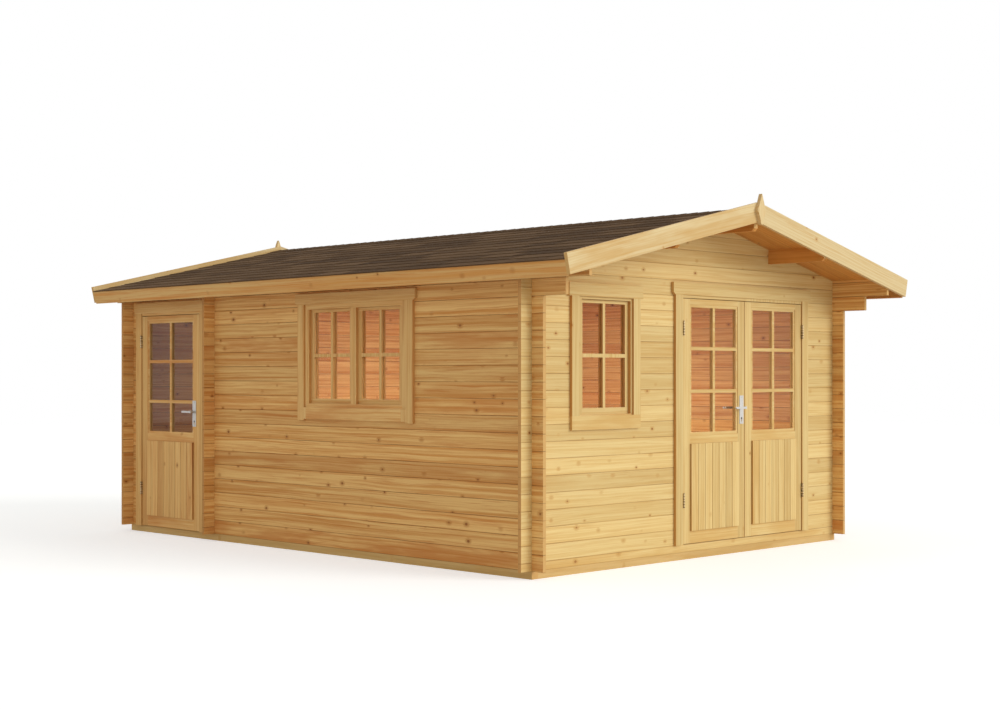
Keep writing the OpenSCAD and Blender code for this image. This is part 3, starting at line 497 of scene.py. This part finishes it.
# brassed steel, with dark seams between the five knuckles of each hinge
def hingeFinish(hinge):
    board = Board("brassedHinge")
    point = board.place()
    x, y, z = board.parts(point)
    smear = board.noise(point, 60.0, 3, 0.6)
    colour = board.mixed(board.eased(smear, 0.3, 0.7) * 0.4, (0.70, 0.56, 0.34), (0.52, 0.38, 0.20))
    seams = 0.0
    half, knuckle = hinge["height"] / 2, hinge["height"] / hinge["knuckles"]
    for middle in hinge["middles"]:
        inside = abs(z - middle) < half + 0.002
        seam = board.math("PINGPONG", z - middle + half, knuckle / 2)
        seams = board.math("MAXIMUM", seams, board.eased(seam, 0.0010, 0.0026, 0.85, 0.0) * inside)
    colour = board.mixed(seams, colour, (0.140, 0.075, 0.036))
    return board.surface(colour, 0.34 + smear * 0.15, smear, 0.06, 0.0002, Metallic=0.75)


steelMaterial = steelFinish("satinSteel", (0.60, 0.59, 0.57), 0.30)
# the two plates on a leaf reach from the foot of its low hinge to the head of its high one
hinge = {"height": 0.102, "knuckles": 5, "middles": []}
for side in ("left", "store"):
    low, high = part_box(f"{side}_leaf_hinges")
    hinge["middles"] += [low.z + hinge["height"] / 2, high.z - hinge["height"] / 2]
hingeMaterial = hingeFinish(hinge)
dress(["left_plates", "left_lever", "store_plates", "store_lever"], steelMaterial)
dress(["frame_hinges", "left_leaf_hinges", "right_leaf_hinges", "store_leaf_hinges"], hingeMaterial)
print("shingles, glass and steel dressed")


# Geometry Nodes helper
class Growth:
    def __init__(self, name, inputs):
        self.tree = bpy.data.node_groups.new(name, "GeometryNodeTree")
        face = self.tree.interface
        face.new_socket("Geometry", in_out="INPUT", socket_type="NodeSocketGeometry")
        face.new_socket("Geometry", in_out="OUTPUT", socket_type="NodeSocketGeometry")
        self.keys = {}
        for key, kind in inputs.items():
            item = face.new_socket(key, in_out="INPUT", socket_type=kind)
            self.keys[key] = item.identifier
        self.start = self.tree.nodes.new("NodeGroupInput")
        self.end = self.tree.nodes.new("NodeGroupOutput")

    def given(self, key):
        return self.start.outputs[key]

    def add(self, kind, settings=None, inputs=None, out=0):
        node = self.tree.nodes.new(kind)
        for key, value in (settings or {}).items():
            setattr(node, key, value)
        for key, value in (inputs or {}).items():
            if isinstance(value, bpy.types.NodeSocket):
                self.tree.links.new(value, node.inputs[key])
            else:
                node.inputs[key].default_value = value
        return node.outputs[out]

    def math(self, operation, *values):
        return self.add("ShaderNodeMath", {"operation": operation}, dict(enumerate(values)))

    def finish(self, geometry, material):
        whole = self.add("GeometryNodeRealizeInstances", None, {0: geometry})
        whole = self.add("GeometryNodeSetMaterial", None, {"Geometry": whole, "Material": material})
        self.tree.links.new(whole, self.end.inputs[0])


# runs a tree on a source mesh and returns a plain mesh object
def grown(name, source, growth, values, turn=None):
    host = bpy.data.objects.new(name + "Host", source)
    bpy.context.scene.collection.objects.link(host)
    modifier = host.modifiers.new("grow", "NODES")
    modifier.node_group = growth.tree
    for key, value in values.items():
        modifier[growth.keys[key]] = value
    bpy.context.view_layer.update()
    mesh = bpy.data.meshes.new_from_object(host.evaluated_get(bpy.context.evaluated_depsgraph_get()))
    host.modifiers.clear()
    bpy.data.objects.remove(host)
    if turn is not None:
        mesh.transform(turn)
    mesh.name = name
    piece = bpy.data.objects.new(name, mesh)
    bpy.context.scene.collection.objects.link(piece)
    return piece


# shingle tabs
shingles = {"tab": 0.333, "slot": 0.006, "thick": 0.0022, "least": 0.02, "lift": 0.0035, "bed": 0.0045,
            "boardThick": 0.018, "seed": 7}
roofLow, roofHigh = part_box("left_shingles")
roofLength = roofHigh.y - roofLow.y
slopeLength = (abs(roofLow.x) - shingles["boardThick"] * math.sin(house["pitch"])) / math.cos(house["pitch"])
rowPitch = slopeLength / house["shingleRows"]

tabs = Growth("shingleTabs", {
    "Rows": "NodeSocketInt", "Columns": "NodeSocketInt", "Row Pitch": "NodeSocketFloat",
    "Tab Width": "NodeSocketFloat", "Slot": "NodeSocketFloat", "Thickness": "NodeSocketFloat",
    "Length": "NodeSocketFloat", "Tilt": "NodeSocketFloat", "Seed": "NodeSocketInt"})
index = tabs.add("GeometryNodeInputIndex")
columns = tabs.given("Columns")
row = tabs.math("FLOOR", tabs.math("DIVIDE", tabs.math("ADD", index, 0.5), columns))
column = tabs.math("SUBTRACT", index, tabs.math("MULTIPLY", row, columns))
stagger = tabs.math("MODULO", tabs.math("MULTIPLY", row, 0.37), 1.0)
shift = tabs.math("MULTIPLY", stagger, tabs.given("Tab Width"))
left = tabs.math("SUBTRACT", tabs.math("MULTIPLY", column, tabs.given("Tab Width")), shift)
right = tabs.math("ADD", left, tabs.given("Tab Width"))
left = tabs.math("MAXIMUM", left, 0.0)
right = tabs.math("MINIMUM", right, tabs.given("Length"))
width = tabs.math("SUBTRACT", tabs.math("SUBTRACT", right, left), tabs.given("Slot"))
middle = tabs.math("MULTIPLY", tabs.math("ADD", left, right), 0.5)
down = tabs.math("MULTIPLY", tabs.math("ADD", row, 0.5), tabs.given("Row Pitch"))
spot = tabs.add("ShaderNodeCombineXYZ", None, {0: down, 1: middle, 2: 0.0})
points = tabs.add("GeometryNodePoints", None,
                  {"Count": tabs.math("MULTIPLY", tabs.given("Rows"), columns), "Position": spot})
size = tabs.add("ShaderNodeCombineXYZ", None,
                {0: tabs.given("Row Pitch"), 1: 1.0, 2: tabs.given("Thickness")})
block = tabs.add("GeometryNodeMeshCube", None, {"Size": size})
scale = tabs.add("ShaderNodeCombineXYZ", None, {0: 1.0, 1: width, 2: 1.0})
turn = tabs.add("ShaderNodeCombineXYZ", None, {0: 0.0, 1: tabs.given("Tilt"), 2: 0.0})
keep = tabs.add("FunctionNodeCompare", {"data_type": "FLOAT", "operation": "GREATER_THAN"},
                {0: width, 1: shingles["least"]})
placed = tabs.add("GeometryNodeInstanceOnPoints", None,
                  {"Points": points, "Selection": keep, "Instance": block, "Rotation": turn, "Scale": scale})
tone = tabs.add("FunctionNodeRandomValue", {"data_type": "FLOAT"},
                {2: 0.0, 3: 1.0, "Seed": tabs.given("Seed")}, 1)
placed = tabs.add("GeometryNodeStoreNamedAttribute", {"data_type": "FLOAT", "domain": "INSTANCE"},
                  {"Geometry": placed, "Name": "tone", "Value": tone})
tabs.finish(placed, shingleMaterial)

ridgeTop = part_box("left_roof_boards")[1].z
for side, sign in (("left", -1), ("right", 1)):
    # local x runs down the slope, local z stands off the shingle sheet
    slopeTurn = Matrix(((sign * math.cos(house["pitch"]), 0, sign * math.sin(house["pitch"])),
                        (0, 1, 0),
                        (-math.sin(house["pitch"]), 0, math.cos(house["pitch"])))).to_4x4()
    drop = shingles["boardThick"] / math.cos(house["pitch"])
    move = Matrix.Translation((0, roofLow.y, ridgeTop - drop)) @ slopeTurn
    off = Matrix.Translation((0, 0, shingles["boardThick"] + shingles["bed"] + shingles["thick"] / 2))
    piece = grown(f"shingle_tabs_{side}", bpy.data.meshes.new("seedMesh"), tabs,
                  {"Rows": house["shingleRows"], "Columns": int(roofLength / shingles["tab"]) + 2,
                   "Row Pitch": rowPitch, "Tab Width": shingles["tab"], "Slot": shingles["slot"],
                   "Thickness": shingles["thick"], "Length": roofLength,
                   "Tilt": -math.atan(shingles["lift"] / rowPitch), "Seed": shingles["seed"] + sign},
                  move @ off)
    if sign < 0:
        piece.data.flip_normals()
    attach(piece, "house")
print("shingle tabs laid:", len(piece.data.polygons), "faces a slope")

# screws and lock cores in the lever plates
heads = Growth("roundHeads", {
    "Radius": "NodeSocketFloat", "Depth": "NodeSocketFloat", "Sides": "NodeSocketInt",
    "Turn": "NodeSocketVector", "Finish": "NodeSocketMaterial"})
disc = heads.add("GeometryNodeMeshCylinder", None, {
    "Vertices": heads.given("Sides"), "Radius": heads.given("Radius"), "Depth": heads.given("Depth")})
seats = heads.add("GeometryNodeMeshToPoints", None, {"Mesh": heads.given("Geometry")})
placed = heads.add("GeometryNodeInstanceOnPoints", None,
                   {"Points": seats, "Instance": disc, "Rotation": heads.given("Turn")})
heads.finish(placed, heads.given("Finish"))

lock = {"screwRadius": 0.0034, "screwDepth": 0.0016, "screwInset": 0.013, "screwSides": 10,
        "coreRadius": 0.0084, "coreDepth": 0.0024, "coreSides": 20, "keyDrop": 0.065, "plateThick": 0.003}
screwMaterial = steelFinish("screwSteel", (0.42, 0.41, 0.40), 0.38)


# dark cylinder with an upright key slot
def coreFinish(name, axis, middle):
    board = Board(name)
    x, y, z = board.parts(board.place())
    speck = board.noise(board.vector(x, y, z), 700.0, 2, 0.5)
    # the key slot is painted near black: painted shade in the keyway
    slot = board.eased(abs(chosen(axis, x, y, z) - middle), 0.0007, 0.0014, 1.0, 0.0)
    colour = board.mixed(board.eased(speck, 0.3, 0.7) * 0.4, (0.115, 0.095, 0.075), (0.070, 0.056, 0.044))
    colour = board.mixed(slot, colour, (0.010, 0.009, 0.008))
    return board.surface(colour, 0.42, speck, 0.05, 0.0001, Metallic=0.6)


def seatMesh(name, spots):
    mesh = bpy.data.meshes.new(name)
    mesh.from_pydata(spots, [], [])
    return mesh


for side, axis in (("left", "x"), ("store", "y")):
    low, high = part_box(f"{side}_plates")
    middle = (low + high) / 2
    face, turn = (1, (math.pi / 2, 0, 0)) if axis == "x" else (0, (0, math.pi / 2, 0))
    screws, cores = [], []
    for outer, way in ((low[face], 1), (high[face], -1)):
        for height in (low.z + lock["screwInset"], high.z - lock["screwInset"]):
            spot = Vector((middle.x, middle.y, height))
            spot[face] = outer + way * lock["screwDepth"] / 2
            screws.append(tuple(spot))
        spot = Vector((middle.x, middle.y, middle.z - lock["keyDrop"]))
        spot[face] = outer + way * (lock["plateThick"] - lock["coreDepth"] / 2)
        cores.append(tuple(spot))
    coreMaterial = coreFinish(f"{side}LockCore", axis, middle["xyz".index(axis)])
    for name, spots, radius, depth, sides, finish in (
            (f"{side}_plate_screws", screws, lock["screwRadius"], lock["screwDepth"], lock["screwSides"],
             screwMaterial),
            (f"{side}_lock_cores", cores, lock["coreRadius"], lock["coreDepth"], lock["coreSides"],
             coreMaterial)):
        piece = grown(name, seatMesh(name + "Seats", spots), heads,
                      {"Radius": radius, "Depth": depth, "Sides": sides, "Turn": turn, "Finish": finish})
        if not piece.data.materials:
            piece.data.materials.append(finish)
        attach(piece, f"{side}_leaf")
print("plate screws and lock cores set")

# stage: floor, light and camera
stage = {"floorSize": 60.0, "floorWhite": 0.90, "floorBounce": 0.80,
         "glow": 0.46, "glowTint": (0.80, 0.90, 1.0),
         "skyLight": 0.64, "skyColour": (1.0, 0.93, 0.82), "sunLight": 1.55, "sunColour": (1.0, 0.975, 0.92),
         "sunAngle": 38.0, "sunFrom": (0.40, -0.86, 0.30)}
bpy.ops.mesh.primitive_plane_add(size=stage["floorSize"], location=(0, 0, 0))
floor = bpy.context.object
floor.name = "studioFloor"
board = Board("studioFloorWhite")
cloud = board.noise(board.place(), 0.3, 1, 0.5)
tint = board.mixed(cloud * 0.1, (stage["floorWhite"],) * 3, (stage["floorWhite"] - 0.01,) * 3)
matt = board.add("ShaderNodeBsdfDiffuse", None, {"Color": tint})
glow = board.add("ShaderNodeEmission", None, {"Color": stage["glowTint"], "Strength": stage["glow"]})
lit = board.add("ShaderNodeAddShader", None, {0: matt, 1: glow})
bounce = board.add("ShaderNodeBsdfDiffuse", None, {"Color": (stage["floorBounce"],) * 3})
seen = board.add("ShaderNodeLightPath", out="Is Camera Ray")
board.finish(board.add("ShaderNodeMixShader", None, {0: seen, 1: bounce, 2: lit}))
floor.data.materials.append(board.material)

world = Board("studio", bpy.data.worlds.new("studio"))
bpy.context.scene.world = world.material
soft = world.add("ShaderNodeBackground", None, {0: stage["skyColour"], 1: stage["skyLight"]})
white = world.add("ShaderNodeBackground", None, {0: (1.0, 1.0, 1.0), 1: 1.0})
seen = world.add("ShaderNodeLightPath", out="Is Camera Ray")
for ray in ("Is Glossy Ray", "Is Transmission Ray"):
    seen = world.math("MAXIMUM", seen, world.add("ShaderNodeLightPath", out=ray))
backdrop = world.add("ShaderNodeMixShader", None, {0: seen, 1: soft, 2: white})
world.add("ShaderNodeOutputWorld", None, {0: backdrop})

sun = bpy.data.objects.new("keyLight", bpy.data.lights.new("keyLight", "SUN"))
sun.data.energy = stage["sunLight"]
sun.data.angle = math.radians(stage["sunAngle"])
sun.data.color = stage["sunColour"]
sun.rotation_euler = Vector(stage["sunFrom"]).to_track_quat("Z", "Y").to_euler()
bpy.context.scene.collection.objects.link(sun)

# soft light under the ridge of each room, so that the panes look into a lit room
rooms = {"main": ((0.0, -0.48, 2.02), 1.6, 40.0, (1.0, 0.93, 0.86)),
         "store": ((0.0, 1.95, 2.02), 0.8, 6.0, (1.0, 0.93, 0.86))}
for name, (place, width, power, tint) in rooms.items():
    glow = bpy.data.objects.new(name + "RoomLight", bpy.data.lights.new(name + "RoomLight", "AREA"))
    glow.data.size, glow.data.energy, glow.data.color = width, power, tint
    glow.location = place
    bpy.context.scene.collection.objects.link(glow)

view = {"lens": 57.35, "shift": 0.0202, "turn": -45.291, "left": 7.6393, "before": 7.2664, "height": 1.3537}
camera = bpy.data.objects.new("camera", bpy.data.cameras.new("camera"))
camera.data.sensor_width, camera.data.lens, camera.data.shift_y = 36.0, view["lens"], view["shift"]
camera.data.clip_start, camera.data.clip_end = 0.1, 200
camera.location = (house["leftX"] - view["left"], house["frontY"] - view["before"], view["height"])
camera.rotation_euler = (math.radians(90), 0, math.radians(view["turn"]))
bpy.context.scene.collection.objects.link(camera)
bpy.context.scene.camera = camera
bpy.context.scene.view_settings.view_transform = "Standard"
print("stage ready")
